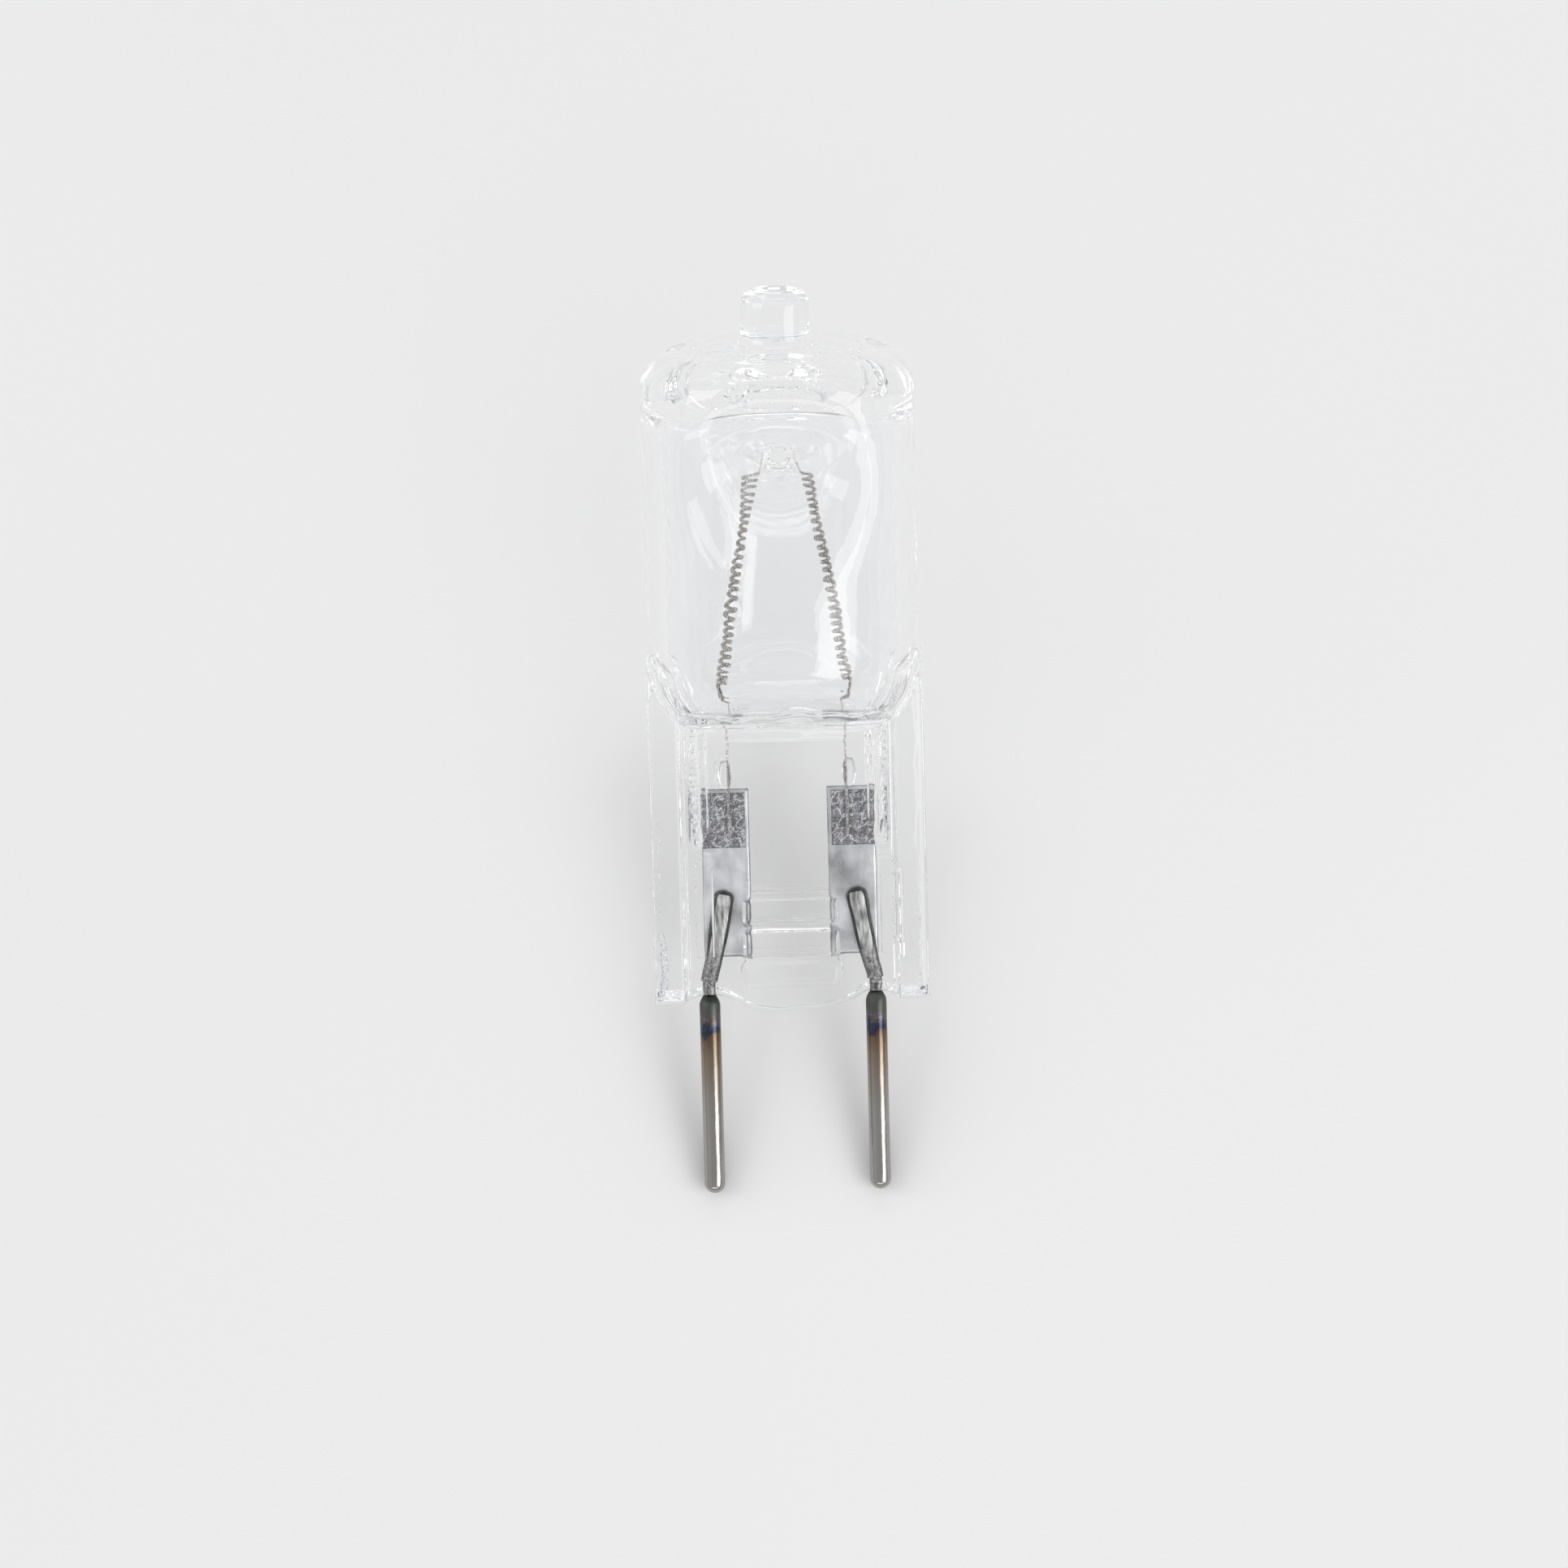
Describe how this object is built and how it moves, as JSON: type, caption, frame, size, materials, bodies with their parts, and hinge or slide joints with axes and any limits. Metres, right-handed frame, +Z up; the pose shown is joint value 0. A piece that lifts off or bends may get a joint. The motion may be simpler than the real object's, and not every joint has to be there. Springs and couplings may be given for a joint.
{
  "type": "halogen bulb",
  "caption": "Clear quartz capsule lamp with a pinched base, two straight contact pins and a coiled filament hung over a glass post, lying at rest.",
  "frame": {"origin": "on the table under the middle of the bulb's bounding box, as it lies at rest on the lower edge of the round tube and on the two pin tips", "axes": "+Y along the lamp toward the exhaust tip, seen from above; +X across the two pins, to the right when the tip points away; +Z up from the table, out of the front of the lamp"},
  "size_m": [0.0132, 0.0434, 0.0155],
  "materials": {
    "quartz": "clear, fire-polished",
    "tungsten": "drawn, dark grey",
    "foil": "smooth, pale blue-grey",
    "weld_tab": "crinkled, dark",
    "lead": "mottled, drawn",
    "pin": "bright, heat-tinted near the glass"
  },
  "bodies": {
    "root": {"glass_envelope": "quartz", "filament": "tungsten", "foil_left": "foil", "foil_right": "foil", "weld_tab_left": "weld_tab", "weld_tab_right": "weld_tab", "lead_wire_left": "lead", "lead_wire_right": "lead", "contact_pin_left": "pin", "contact_pin_right": "pin"}
  },
  "joints": []
}
